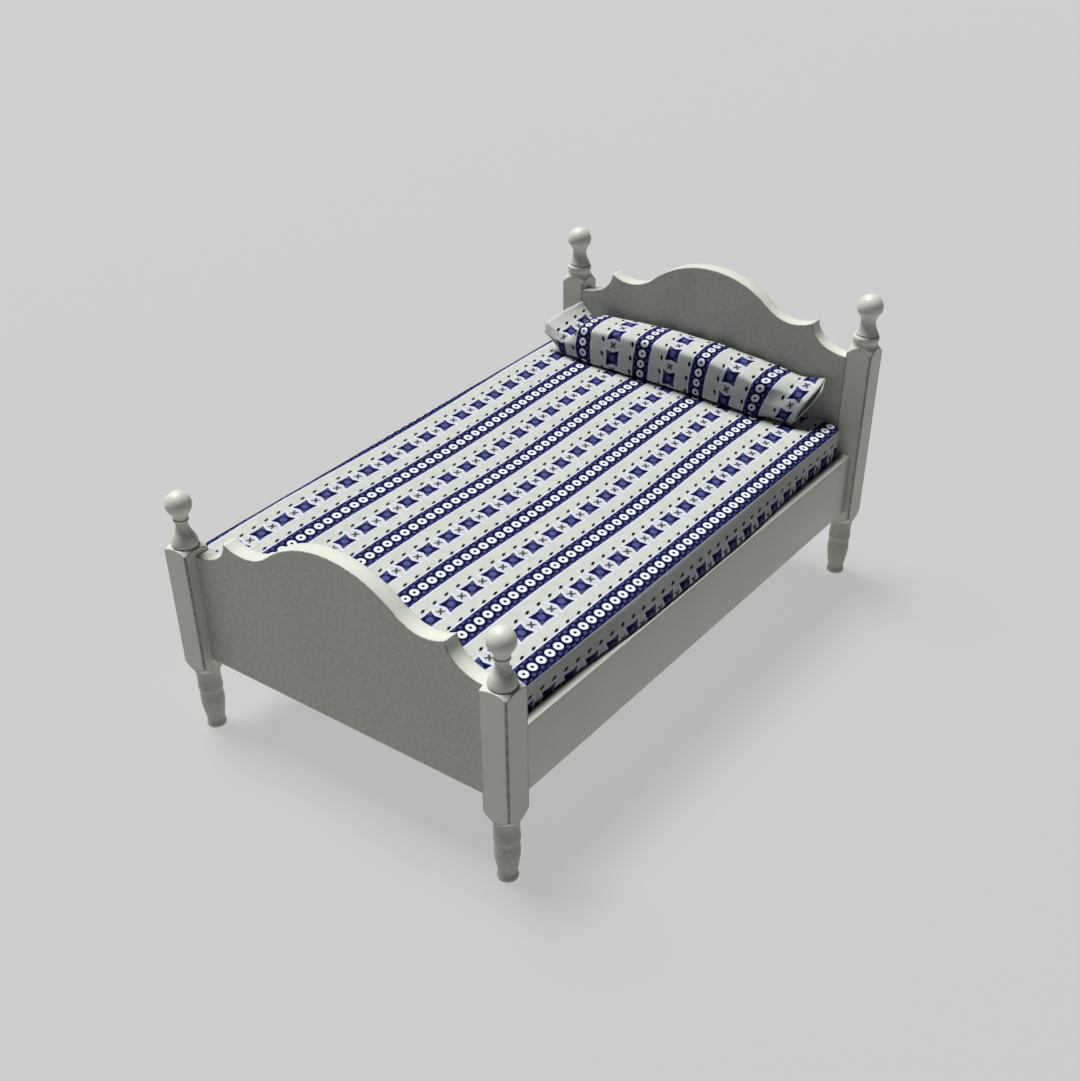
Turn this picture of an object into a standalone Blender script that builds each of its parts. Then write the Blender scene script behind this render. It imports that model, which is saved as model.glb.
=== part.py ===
"""A miniature four poster bed at one twelfth scale.

Four short turned posts carry a shaped headboard, a shaped footboard and two side rails. Ledgers
inside the rails carry slats, a covered foam mattress lies on the slats, and a stuffed pillow lies
on the mattress.

Frame: the origin is on the floor under the middle of the bed, +Y points to the head, +Z up. Sizes
below are in millimetres and are scaled to metres where the meshes are made.
"""

import math

import bmesh
import bpy
from mathutils import Matrix, Vector

MM = 0.001
JOINT_GAP = 0.2
REST_GAP = 0.3
CUT_MARGIN = 5.0

# Overall plan
BED_LENGTH = 175.0
POST_SIZE = 7.6
POST_SPAN_X = 98.6
POST_SPAN_Y = BED_LENGTH - POST_SIZE
POST_EDGE_RADIUS = 0.4
CORNER_RADIUS = POST_SIZE * math.sqrt(0.5)

# Posts: the square block between the leg and the finial
BLOCK_BOTTOM = 19.0
BLOCK_TOP_FOOT = 55.4
BLOCK_TOP_HEAD = 74.4
SHOULDER_DROP_FOOT = 1.0
SHOULDER_DROP_HEAD = 2.3
UNDERSIDE_SLOPE = 1.35
FOOT_BALL_RADIUS = 3.3
FOOT_BALL_HEIGHT = 11.35
HEAD_BALL_RADIUS = 3.6
HEAD_BALL_HEIGHT = 11.1
LEG_RADIUS_TOP = 3.35
LEG_RADIUS_FLOOR = 2.4

# Headboard and footboard
BOARD_THICKNESS = 4.5
BOARD_BOTTOM = 22.6
FOOT_CREST = 69.4
HEAD_CREST = 86.9
CREST_TO_COVE = 10.1
CREST_TO_END = 15.8
COVE_X = 28.0
COVE_RADIUS = 13.2
NUB_X = 34.3

# Side rails
RAIL_THICKNESS = 2.8
RAIL_SETBACK = 2.1
RAIL_BOTTOM = 22.6
RAIL_TOP = 41.4
RAIL_EDGE_RADIUS = 0.4

# Tenons of the boards and the rails
TENON_LENGTH = 2.0
TENON_THICKNESS = 1.8
TENON_SHOULDER = 4.5
TENON_ROOT = 1.0

# Ledgers and slats
LEDGER_SIZE = 3.0
LEDGER_LENGTH = 150.0
LEDGER_ABOVE_RAIL_BOTTOM = 0.4
SLAT_COUNT = 7
SLAT_PITCH = 22.0
SLAT_WIDTH = 12.0
SLAT_THICKNESS = 1.6
SLAT_EDGE_RADIUS = 0.25

# Mattress: its top slopes up a little to the left and to the head
MATTRESS_CLEARANCE = 0.4
MATTRESS_TOP = 52.3
MATTRESS_SLOPE_X = -0.06
MATTRESS_SLOPE_Y = 0.0205
MATTRESS_EDGE_RADIUS = 2.8
COVER_THICKNESS = 0.5
COVER_LIP = 8.0

# Pillow
PILLOW_LENGTH = 78.0
PILLOW_DEPTH = 13.6
PILLOW_HEIGHT = 11.8
PILLOW_X = -1.5
PILLOW_EDGE_RADIUS = 3.5
PILLOW_TO_HEADBOARD = 0.4
PILLOW_TURN = 0.04
CASE_THICKNESS = 0.5
CASE_HEM = 3.5

# Mesh resolution
TURNING_STEPS = 24
ARC_STEPS = 8
ROUNDING_STEPS = 3
SHARP_ANGLE = 35

POST_X = POST_SPAN_X / 2
POST_Y = POST_SPAN_Y / 2
HALF_POST = POST_SIZE / 2
INNER_X = POST_X - HALF_POST
INNER_Y = POST_Y - HALF_POST
RAIL_OUTER_X = POST_X + HALF_POST - RAIL_SETBACK
RAIL_INNER_X = RAIL_OUTER_X - RAIL_THICKNESS
LEDGER_BOTTOM = RAIL_BOTTOM + LEDGER_ABOVE_RAIL_BOTTOM
SLAT_BOTTOM = LEDGER_BOTTOM + LEDGER_SIZE + JOINT_GAP
MATTRESS_BOTTOM = SLAT_BOTTOM + SLAT_THICKNESS + JOINT_GAP
MATTRESS_MIDDLE = (MATTRESS_BOTTOM + MATTRESS_TOP) / 2


def clear_scene():
    for obj in list(bpy.data.objects):
        bpy.data.objects.remove(obj, do_unlink=True)


def new_collection(name):
    collection = bpy.data.collections.new(name)
    bpy.context.scene.collection.children.link(collection)
    return collection


def new_material(name, colour, roughness):
    material = bpy.data.materials.new(name)
    material.use_nodes = True
    shader = material.node_tree.nodes["Principled BSDF"]
    shader.inputs["Base Color"].default_value = (*colour, 1.0)
    shader.inputs["Roughness"].default_value = roughness
    shader.inputs["Metallic"].default_value = 0.0
    return material


def new_object(name, mesh, collection, material=None):
    obj = bpy.data.objects.new(name, mesh)
    if material:
        mesh.materials.append(material)
    collection.objects.link(obj)
    return obj


def as_cutter(obj):
    obj.hide_render = True
    obj.display_type = "WIRE"
    return obj


def add_boolean(obj, other, operation):
    boolean = obj.modifiers.new(f"{operation.lower()}_{other.name}", "BOOLEAN")
    boolean.operation = operation
    boolean.solver = "EXACT"
    boolean.object = other


def box_mesh(name, low, high):
    """A box from its low and high corners, in millimetres."""
    low, high = Vector(low) * MM, Vector(high) * MM
    shape = bmesh.new()
    size = Matrix.Diagonal((*(high - low), 1.0))
    bmesh.ops.create_cube(shape, size=1.0, matrix=Matrix.Translation((low + high) / 2) @ size)
    mesh = bpy.data.meshes.new(name)
    shape.to_mesh(mesh)
    shape.free()
    return mesh


def round_edges(mesh, radius, segments, choose):
    """Bevels the edges of a mesh for which choose(edge) is true, by a radius in millimetres."""
    shape = bmesh.new()
    shape.from_mesh(mesh)
    edges = [edge for edge in shape.edges if choose(edge)]
    offset = radius * MM
    bmesh.ops.bevel(shape, geom=edges, offset=offset, segments=segments, profile=0.5, affect="EDGES")
    shape.to_mesh(mesh)
    shape.free()


def edge_along(edge, axis):
    direction = edge.verts[1].co - edge.verts[0].co
    return abs(direction[axis]) > 0.9 * direction.length


def reaches_above(edge, height):
    return max(vertex.co.z for vertex in edge.verts) > height * MM


# Posts


def arc(centre_r, centre_z, radius, start, end, steps):
    """Profile points on an arc, from one angle to another in degrees above the horizontal."""
    angles = [math.radians(start + (end - start) * i / steps) for i in range(steps + 1)]
    return [(centre_r + radius * math.cos(a), centre_z + radius * math.sin(a)) for a in angles]


def foot_finial(top):
    """A ball on a narrow neck that flares to a base ring, as (radius, height) above the block's arches."""
    centre = top + FOOT_BALL_HEIGHT
    ball = arc(0.0, centre, FOOT_BALL_RADIUS, 90, -40, 9)
    neck = [(1.75, top + 6.9), (1.62, top + 6.5), (1.8, top + 6.1), (1.95, top + 5.3)]
    flare = [(2.25, top + 4.2), (2.7, top + 2.7), (3.2, top + 1.4), (3.4, top + 0.7), (3.2, top)]
    return [(0.0, centre + FOOT_BALL_RADIUS), *ball[1:], *neck, *flare]


def head_finial(top):
    """A pear-shaped ball on a thicker neck, which spreads to two rings with a groove between them."""
    centre = top + HEAD_BALL_HEIGHT
    ball = arc(0.0, centre, HEAD_BALL_RADIUS, 90, -20, 8)
    neck = [(2.7, top + 9.0), (2.25, top + 8.0), (2.08, top + 6.9), (2.3, top + 5.7)]
    upper_ring = [(2.8, top + 4.4), (3.2, top + 3.6), (3.0, top + 3.3)]
    lower_ring = [(3.5, top + 2.9), (3.66, top + 2.2), (3.55, top + 1.5), (3.35, top + 1.2)]
    return [(0.0, centre + HEAD_BALL_RADIUS), *ball[1:], *neck, *upper_ring, *lower_ring]


def shoulders(top, drop):
    """The turned shoulders that give each face of the block its arched ends."""
    outside = CORNER_RADIUS + 1.0
    slope = drop / (CORNER_RADIUS - HALF_POST)
    reach = outside - HALF_POST
    upper = [(HALF_POST, top), (outside, top - slope * reach)]
    lower = [(outside, BLOCK_BOTTOM + UNDERSIDE_SLOPE * reach), (HALF_POST, BLOCK_BOTTOM)]
    return [*upper, *lower]


def leg():
    """The tapered leg with its faint ring, from under the block to the floor."""
    ring = [(3.1, 13.6), (3.0, 12.4), (3.08, 11.2), (2.98, 9.4)]
    ankle = [(2.88, 6.5), (2.6, 3.6), (2.45, 1.2)]
    return [(LEG_RADIUS_TOP, 18.4), (3.28, 16.4), *ring, *ankle, (LEG_RADIUS_FLOOR, 0.0), (0.0, 0.0)]


def post_profile(is_head):
    if is_head:
        finial, block = head_finial(BLOCK_TOP_HEAD), shoulders(BLOCK_TOP_HEAD, SHOULDER_DROP_HEAD)
    else:
        finial, block = foot_finial(BLOCK_TOP_FOOT), shoulders(BLOCK_TOP_FOOT, SHOULDER_DROP_FOOT)
    return [*finial, *block, *leg()]


def turned_mesh(name, profile):
    """A profile in the XZ plane, from the top down, for a Screw modifier to turn about Z."""
    mesh = bpy.data.meshes.new(name)
    points = [(radius * MM, 0.0, height * MM) for radius, height in profile]
    mesh.from_pydata(points, [(i, i + 1) for i in range(len(points) - 1)], [])
    return mesh


def add_screw(obj):
    screw = obj.modifiers.new("turning", "SCREW")
    screw.steps = TURNING_STEPS
    screw.render_steps = TURNING_STEPS
    screw.use_merge_vertices = True
    screw.merge_threshold = 0.00001


def make_post(name, side_x, side_y, parts, cutters, material):
    """A post turned from square stock: the turning is cut by the four flat sides of the stock."""
    is_head = side_y > 0
    place = Vector((side_x * POST_X, side_y * POST_Y, 0.0)) * MM
    profile = post_profile(is_head)
    post = new_object(name, turned_mesh(name, profile), parts, material)
    post.location = place
    add_screw(post)

    low = (-HALF_POST, -HALF_POST, -CUT_MARGIN)
    high = (HALF_POST, HALF_POST, profile[0][1] + CUT_MARGIN)
    stock_mesh = box_mesh(f"{name}_stock", low, high)
    round_edges(stock_mesh, POST_EDGE_RADIUS, 2, lambda edge: edge_along(edge, 2))
    stock = as_cutter(new_object(f"{name}_stock", stock_mesh, cutters))
    stock.location = place
    add_boolean(post, stock, "INTERSECT")

    board_top = (HEAD_CREST if is_head else FOOT_CREST) - CREST_TO_END
    for kind, box in (
        ("board", board_tenon(side_x, side_y, board_top, JOINT_GAP)),
        ("rail", rail_tenon(side_x, side_y, JOINT_GAP)),
    ):
        mortise = as_cutter(new_object(f"{name}_{kind}_mortise", box_mesh(name, *box), cutters))
        add_boolean(post, mortise, "DIFFERENCE")


# Boards and rails


def spread(a, b):
    """The low and high corners of a box, from any two opposite corners."""
    return [min(p) for p in zip(a, b)], [max(p) for p in zip(a, b)]


def board_tenon(side_x, side_y, board_top, gap=0.0):
    """The tenon at one end of a board, or with a gap the mortise that takes it."""
    middle = side_y * (INNER_Y + BOARD_THICKNESS / 2)
    half = TENON_THICKNESS / 2 + gap
    near = side_x * (INNER_X - TENON_ROOT)
    far = side_x * (INNER_X + TENON_LENGTH + gap)
    bottom = BOARD_BOTTOM + TENON_SHOULDER - gap
    top = board_top - TENON_SHOULDER + gap
    return spread((near, middle - half, bottom), (far, middle + half, top))


def rail_tenon(side_x, side_y, gap=0.0):
    """The tenon at one end of a side rail, or with a gap the mortise that takes it."""
    middle = side_x * (RAIL_OUTER_X - RAIL_THICKNESS / 2)
    half = TENON_THICKNESS / 2 + gap
    near = side_y * (INNER_Y - TENON_ROOT)
    far = side_y * (INNER_Y + TENON_LENGTH + gap)
    bottom = RAIL_BOTTOM + TENON_SHOULDER - gap
    top = RAIL_TOP - TENON_SHOULDER + gap
    return spread((middle - half, near, bottom), (middle + half, far, top))


def half_outline(crest):
    """A board's shaped top from its middle to its right end.

    The crest runs into a cove, the cove ends in a sharp nub, and a quarter cove falls to the end.
    """
    end_x = INNER_X - JOINT_GAP
    reach = (COVE_X**2 + CREST_TO_COVE**2) / (2 * CREST_TO_COVE)
    crest_radius = reach - COVE_RADIUS
    meet = math.degrees(math.asin(COVE_X / reach))
    dip = math.degrees(math.asin((NUB_X - COVE_X) / COVE_RADIUS))
    rise = arc(0.0, crest - crest_radius, crest_radius, 90, 90 - meet, ARC_STEPS)
    cove_z = crest - CREST_TO_COVE + COVE_RADIUS
    cove = arc(COVE_X, cove_z, COVE_RADIUS, -90 - meet, -90 + dip, ARC_STEPS)
    nub_x, nub_z = cove[-1]
    width = end_x - nub_x
    drop = nub_z - (crest - CREST_TO_END)
    angles = [math.radians(90 * step / ARC_STEPS) for step in range(1, ARC_STEPS + 1)]
    quarter = [(end_x - width * math.cos(a), nub_z - drop * math.sin(a)) for a in angles]
    return [*rise, *cove[1:], *quarter]


def make_board(name, side_y, crest, parts, material):
    """A board cut from flat stock, with a tenon at each end."""
    right = half_outline(crest)
    left = [(-x, z) for x, z in reversed(right[1:])]
    end_x = INNER_X - JOINT_GAP
    outline = [(-end_x, BOARD_BOTTOM), *left, *right, (end_x, BOARD_BOTTOM)]

    curve = bpy.data.curves.new(f"{name}_outline", "CURVE")
    curve.dimensions = "2D"
    curve.fill_mode = "BOTH"
    curve.extrude = BOARD_THICKNESS / 2 * MM
    spline = curve.splines.new("POLY")
    spline.points.add(len(outline) - 1)
    for point, (x, z) in zip(spline.points, outline):
        point.co = (x * MM, z * MM, 0.0, 1.0)
    spline.use_cyclic_u = True
    flat = bpy.data.objects.new(f"{name}_outline", curve)
    parts.objects.link(flat)
    flat.rotation_euler = (math.radians(90), 0.0, 0.0)
    flat.location = (0.0, side_y * (INNER_Y + BOARD_THICKNESS / 2) * MM, 0.0)
    bpy.context.view_layer.update()

    board = new_object(name, welded_copy(flat), parts, material)
    board.matrix_world = flat.matrix_world
    bpy.data.objects.remove(flat, do_unlink=True)
    return board


def welded_copy(curve_object):
    """The curve's solid as a mesh, with its loose caps welded on."""
    evaluated = curve_object.evaluated_get(bpy.context.evaluated_depsgraph_get())
    mesh = bpy.data.meshes.new_from_object(evaluated)
    shape = bmesh.new()
    shape.from_mesh(mesh)
    bmesh.ops.remove_doubles(shape, verts=shape.verts, dist=0.000001)
    shape.to_mesh(mesh)
    shape.free()
    return mesh


def add_tenon(obj, name, box, cutters):
    tenon = as_cutter(new_object(name, box_mesh(name, *box), cutters))
    add_boolean(obj, tenon, "UNION")


def make_rail(name, side_x, parts, material):
    """A side rail between the inner faces of two posts, with its upper edges eased."""
    reach = INNER_Y - JOINT_GAP
    inner = (side_x * RAIL_INNER_X, -reach, RAIL_BOTTOM)
    outer = (side_x * RAIL_OUTER_X, reach, RAIL_TOP)
    mesh = box_mesh(name, *spread(inner, outer))
    middle = (RAIL_BOTTOM + RAIL_TOP) / 2

    def upper(edge):
        return edge_along(edge, 1) and reaches_above(edge, middle)

    round_edges(mesh, RAIL_EDGE_RADIUS, 2, upper)
    return new_object(name, mesh, parts, material)


# Ledgers and slats


def make_ledger(name, side_x, parts, material):
    """A square strip along the inside of a rail, for the slats to lie on."""
    inner = RAIL_INNER_X - JOINT_GAP
    half = LEDGER_LENGTH / 2
    low = (side_x * inner, -half, LEDGER_BOTTOM)
    high = (side_x * (inner - LEDGER_SIZE), half, LEDGER_BOTTOM + LEDGER_SIZE)
    new_object(name, box_mesh(name, *spread(low, high)), parts, material)


def make_slat(name, number, parts, material):
    """One slat across the bed, numbered from 0 at the foot."""
    middle = (number - (SLAT_COUNT - 1) / 2) * SLAT_PITCH
    half_x = RAIL_INNER_X - REST_GAP
    low = (-half_x, middle - SLAT_WIDTH / 2, SLAT_BOTTOM)
    high = (half_x, middle + SLAT_WIDTH / 2, SLAT_BOTTOM + SLAT_THICKNESS)
    mesh = box_mesh(name, low, high)
    round_edges(mesh, SLAT_EDGE_RADIUS, 1, lambda edge: edge_along(edge, 0))
    new_object(name, mesh, parts, material)


# Mattress


def mattress_top(x, y):
    return MATTRESS_TOP + MATTRESS_SLOPE_X * x + MATTRESS_SLOPE_Y * y


def mattress_block(name, inset):
    """A block that fills the frame, drawn in by an inset on every side.

    Its upper edges and its upright corners are rounded, about the same centres at every inset.
    """
    half_x = RAIL_INNER_X - MATTRESS_CLEARANCE - inset
    half_y = INNER_Y - MATTRESS_CLEARANCE - inset
    low = (-half_x, -half_y, MATTRESS_BOTTOM + inset)
    mesh = box_mesh(name, low, (half_x, half_y, MATTRESS_TOP))
    for vertex in mesh.vertices:
        if vertex.co.z > MATTRESS_MIDDLE * MM:
            x, y = vertex.co.x / MM, vertex.co.y / MM
            vertex.co.z = (mattress_top(x, y) - inset) * MM
    radius = MATTRESS_EDGE_RADIUS - inset
    round_edges(mesh, radius, ROUNDING_STEPS, lambda edge: reaches_above(edge, MATTRESS_MIDDLE))
    return mesh


def make_mattress(parts, cutters, foam, cloth):
    """A foam block, and the cloth wrapped over it, turned under and open below."""
    core_mesh = mattress_block("mattress_core", COVER_THICKNESS + JOINT_GAP)
    new_object("mattress_core", core_mesh, parts, foam)

    cover = new_object("mattress_cover", mattress_block("mattress_cover", 0.0), parts, cloth)
    inside_mesh = mattress_block("mattress_inside", COVER_THICKNESS)
    mouth = Vector((RAIL_INNER_X - COVER_LIP, INNER_Y - COVER_LIP, 0.0))
    below = Vector((0.0, 0.0, MATTRESS_BOTTOM - CUT_MARGIN))
    above = Vector((0.0, 0.0, MATTRESS_BOTTOM + COVER_THICKNESS + CUT_MARGIN))
    mouth_mesh = box_mesh("mattress_mouth", below - mouth, above + mouth)
    for cutter_name, cutter_mesh in (("mattress_inside", inside_mesh), ("mattress_mouth", mouth_mesh)):
        cutter = as_cutter(new_object(cutter_name, cutter_mesh, cutters))
        add_boolean(cover, cutter, "DIFFERENCE")


# Pillow


def pillow_block(name, inset, left, right):
    """A long block with rounded long edges, from a left end to a right end, on its own base."""
    half_y = PILLOW_DEPTH / 2 - inset
    mesh = box_mesh(name, (left, -half_y, inset), (right, half_y, PILLOW_HEIGHT - inset))
    radius = PILLOW_EDGE_RADIUS - inset
    round_edges(mesh, radius, ROUNDING_STEPS, lambda edge: edge_along(edge, 0))
    return mesh


def make_pillow(parts, cutters, stuffing, cloth):
    """A stuffed tube in a case that is open at its right end. Both lie on the sloping mattress,
    turned a little, so that the right end is the nearer one to the headboard."""
    right_end_forward = PILLOW_TURN * PILLOW_LENGTH / 2
    middle_y = INNER_Y - PILLOW_TO_HEADBOARD - PILLOW_DEPTH / 2 - right_end_forward
    base = bpy.data.objects.new("pillow_base", None)
    parts.objects.link(base)
    base_z = mattress_top(PILLOW_X, middle_y) + REST_GAP
    base.location = Vector((PILLOW_X, middle_y, base_z)) * MM
    base.rotation_euler = (math.atan(MATTRESS_SLOPE_Y), math.atan(-MATTRESS_SLOPE_X), PILLOW_TURN)

    half = PILLOW_LENGTH / 2
    case = new_object("pillow_case", pillow_block("pillow_case", 0.0, -half, half), parts, cloth)
    inside_ends = CASE_THICKNESS - half, half + CUT_MARGIN
    inside_mesh = pillow_block("pillow_inside", CASE_THICKNESS, *inside_ends)
    inside = as_cutter(new_object("pillow_inside", inside_mesh, cutters))
    add_boolean(case, inside, "DIFFERENCE")

    inset = CASE_THICKNESS + JOINT_GAP
    filling_mesh = pillow_block("pillow_filling", inset, inset - half, half - CASE_HEM)
    filling = new_object("pillow_filling", filling_mesh, parts, stuffing)
    for obj in (case, inside, filling):
        obj.parent = base


def smooth_rounds(collection):
    for obj in collection.objects:
        if obj.type == "MESH":
            obj.data.shade_smooth()
            obj.data.set_sharp_from_angle(angle=math.radians(SHARP_ANGLE))


def main():
    clear_scene()
    parts = new_collection("miniature_four_poster_bed")
    cutters = new_collection("cutters")
    paint = new_material("satin_white_paint", (0.78, 0.79, 0.75), 0.35)
    bare_wood = new_material("bare_wood", (0.62, 0.47, 0.30), 0.6)
    foam = new_material("foam", (0.85, 0.80, 0.62), 0.9)
    stuffing = new_material("stuffing", (0.88, 0.87, 0.84), 0.95)
    cloth = new_material("printed_cotton", (0.45, 0.47, 0.50), 0.85)

    sides = (("left", -1), ("right", 1))
    for side, side_x in sides:
        for end, side_y in (("foot", -1), ("head", 1)):
            make_post(f"post_{end}_{side}", side_x, side_y, parts, cutters, paint)
        rail_name = f"side_rail_{side}"
        rail = make_rail(rail_name, side_x, parts, paint)
        for side_y in (-1, 1):
            add_tenon(rail, f"{rail_name}_tenon_{side_y}", rail_tenon(side_x, side_y), cutters)
        make_ledger(f"ledger_{side}", side_x, parts, bare_wood)

    for name, side_y, crest in (("footboard", -1, FOOT_CREST), ("headboard", 1, HEAD_CREST)):
        board = make_board(name, side_y, crest, parts, paint)
        for side, side_x in sides:
            tenon = board_tenon(side_x, side_y, crest - CREST_TO_END)
            add_tenon(board, f"{name}_tenon_{side}", tenon, cutters)

    for number in range(SLAT_COUNT):
        make_slat(f"slat_{number + 1}", number, parts, bare_wood)
    make_mattress(parts, cutters, foam, cloth)
    make_pillow(parts, cutters, stuffing, cloth)
    smooth_rounds(parts)


main()
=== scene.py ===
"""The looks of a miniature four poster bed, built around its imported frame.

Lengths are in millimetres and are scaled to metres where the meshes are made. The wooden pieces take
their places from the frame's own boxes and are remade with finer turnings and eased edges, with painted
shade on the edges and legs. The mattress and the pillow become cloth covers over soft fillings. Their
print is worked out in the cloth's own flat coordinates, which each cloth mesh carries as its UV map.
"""

import math

import bpy
import numpy as np
from mathutils import Matrix, Vector


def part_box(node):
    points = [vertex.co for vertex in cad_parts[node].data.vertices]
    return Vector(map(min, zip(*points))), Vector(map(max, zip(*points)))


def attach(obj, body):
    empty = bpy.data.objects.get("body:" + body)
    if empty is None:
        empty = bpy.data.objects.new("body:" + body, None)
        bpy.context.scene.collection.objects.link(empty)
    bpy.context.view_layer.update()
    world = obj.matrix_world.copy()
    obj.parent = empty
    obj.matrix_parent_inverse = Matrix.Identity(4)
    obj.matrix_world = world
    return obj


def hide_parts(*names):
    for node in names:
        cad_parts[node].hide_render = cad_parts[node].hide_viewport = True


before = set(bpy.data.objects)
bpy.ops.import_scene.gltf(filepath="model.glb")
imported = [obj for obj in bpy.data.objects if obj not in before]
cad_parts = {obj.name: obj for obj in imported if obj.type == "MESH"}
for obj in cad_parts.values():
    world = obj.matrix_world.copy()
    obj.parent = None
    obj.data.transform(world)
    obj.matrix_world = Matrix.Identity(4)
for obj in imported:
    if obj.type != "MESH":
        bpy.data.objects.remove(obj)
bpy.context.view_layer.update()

MM = 0.001

# Camera, solved for the bed's size
CAMERA_PLACE = (195.09, -265.07, 227.88)
CAMERA_AZIMUTH = 36.846
CAMERA_ELEVATION = 35.115
CAMERA_ROLL = -0.4955
CAMERA_LENS = 45.83
CAMERA_SHIFT_Y = 0.1013

# Light
SUN_STRENGTH = 4.9
SUN_SPREAD = 26.0
SUN_FROM_LEFT = 21.0
SUN_FROM_BACK = 2.0
SKY_STRENGTH = 0.02
FLOOR_TONES = (0.078, 0.082)
FLOOR_GLOW = 0.468
FLOOR_REACH = 6000.0
FLOOR_DROP = 0.02
BACKDROP_RADIUS = 5500.0
BACKDROP_TONE = 0.60

# Turning and edges of the painted wood
TURNING_SIDES = 96
PROFILE_STEP = 0.16
EDGE_SOFTNESS = 0.16
POST_EDGE_RADIUS = 0.35
BOARD_EDGE_RADIUS = 0.28
RAIL_EDGE_RADIUS = 0.4

# Shape of the posts
SHOULDER_DROP_FOOT = 1.0
SHOULDER_DROP_HEAD = 2.3
UNDERSIDE_SLOPE = 1.35
BLOCK_BOTTOM = 19.0
BLOCK_TOP_FOOT = 55.4
BLOCK_TOP_HEAD = 74.4
LEG_TOP = (3.35, 18.4)
LEG_END = (2.5, 0.2)
FOOT_BALL_RADIUS = 3.3
FOOT_BALL_HEIGHT = 11.35
HEAD_BALL_RADIUS = 3.6
HEAD_BALL_HEIGHT = 11.1

# Painted shade on the paint: how far it spreads from a post's arched and long edges, how strong on the legs,
# and how strong on each ring of points from a board's front face over its edge to its back face
ARCH_SHADE_WIDTH = 0.14
ARRIS_SHADE_WIDTH = 0.12
LEG_SHADE = 0.42
BOARD_EDGE_SHADE = (0.5, 1.0, 1.0, 0.7, 0.1, 0.0, 0.0, 0.1, 0.7, 1.0, 1.0, 0.5)

# Shape of the boards' tops
CREST_TO_COVE = 10.1
CREST_TO_END = 15.8
COVE_X = 28.0
COVE_RADIUS = 13.2
NUB_X = 34.3
OUTLINE_STEP = 0.6

# Mattress: heights of its top at its right and left edges, and how they climb towards the head
TOP_RIGHT_X = 47.8
TOP_LEFT_X = -50.0
TOP_RIGHT_Z = 49.4
TOP_RIGHT_CLIMB = 0.0115
TOP_LEFT_Z = 55.4
TOP_LEFT_CLIMB = 0.03
MATTRESS_HALF_LENGTH = 79.3
MATTRESS_BOTTOM = 28.2
MATTRESS_CORNER = 1.6
TOP_EDGE_RADIUS = 1.3
UNDER_EDGE_RADIUS = 1.5
LIP = 7.0
COVER_STEP = 1.2
PAD_STEP = 3.0
PAD_INSET = 0.4
CLOTH_THICKNESS = 0.3

# How the mattress's sides reach out over the rails and tuck in between them
RAIL_TOP = 41.4
OVERHANG = 2.4
RIGHT_BULGE = 2.4
BULGE_MIDDLE_Y = -5.0
TUCK_STEPS = (0.65, 0.5, 0.4, 0.28, 0.15)

# The print, in the cloth's own flat coordinates: u across its bands and v along them
BAND_PERIOD = 19.07
BAND_HALF = 2.95
RING_PERIOD = 3.28
FLOWER_PERIOD = 7.92
FLOWER_U = 9.75
MATTRESS_FLOWER_V = -3.7
MATTRESS_STAGGER = 3.96
PILLOW_FLOWER_V = -1.9
DASH_PERIOD = 4.41
DASH_ROWS = (-3.8, 6.45)
DASH_HALF_WIDTH = 0.40
DASH_HALF_LENGTH = 0.80
RING_HALF_WIDTH = 1.36
RING_HALF_LENGTH = 1.26
FLOWER_HALF_WIDTH = 1.85
FLOWER_HALF_LENGTH = 1.82
FLOWER_MIDDLE_RADIUS = 0.95
SPOT_U = 1.95
LEAF_U = 2.55
FIRST_BAND_X = 6.2
BAND_SWAY = 0.55
BAND_SWAY_LENGTH = 52.0
RIGHT_BAND_SHIFT = 0.55
LEFT_BAND_SHIFT = 0.35
EDGE_PULL = 0.15
PRINT_LEAN = 0.113
PRINT_LEAN_GROWTH = 0.0005
PRINT_START = -0.9


def low(node):
    """The low corner of a node's box in millimetres."""
    return np.array(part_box(node)[0]) / MM


def high(node):
    """The high corner of a node's box in millimetres."""
    return np.array(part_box(node)[1]) / MM


# Mesh helpers


def new_object(name, points, faces):
    mesh = bpy.data.meshes.new(name)
    mesh.from_pydata((np.asarray(points) * MM).tolist(), [], faces)
    mesh.update()
    mesh.shade_smooth()
    obj = bpy.data.objects.new(name, mesh)
    bpy.context.scene.collection.objects.link(obj)
    return obj


def grid_quads(index):
    """The faces between neighbouring rows and columns of point numbers."""
    quads = np.stack([index[:-1, :-1], index[1:, :-1], index[1:, 1:], index[:-1, 1:]], axis=-1)
    return quads.reshape(-1, 4)


def loft(name, rings, close_ends=True):
    """A skin over rings of points, an array of ring by point by xyz, in an order that faces it outward."""
    count, size, _ = rings.shape
    index = np.arange(count * size).reshape(count, size)
    following = np.roll(index, -1, axis=1)
    quads = np.stack([index[:-1], following[:-1], following[1:], index[1:]], axis=-1)
    faces = quads.reshape(-1, 4).tolist()
    if close_ends:
        faces.append(index[0][::-1].tolist())
        faces.append(index[-1].tolist())
    return new_object(name, rings.reshape(-1, 3), faces)


def add_painted_shade(obj, values):
    """Stores how much painted shade each point gets, from 0 to 1, for the paint to read."""
    attribute = obj.data.attributes.new("painted_shade", "FLOAT", "POINT")
    attribute.data.foreach_set("value", np.asarray(values, np.float32).ravel())


def finish_piece(obj, body, slot, material, *nodes):
    """Gives a piece its material and its body, and hides the CAD nodes that it stands in for."""
    obj.data.materials.append(material)
    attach(obj, body)
    if nodes:
        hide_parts(*nodes)
    return obj


def arc(centre_r, centre_z, radius, start, end, steps):
    """Points along an arc, between two angles in degrees."""
    angles = np.radians(np.linspace(start, end, steps + 1))
    return [(centre_r + radius * math.cos(a), centre_z + radius * math.sin(a)) for a in angles]


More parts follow.
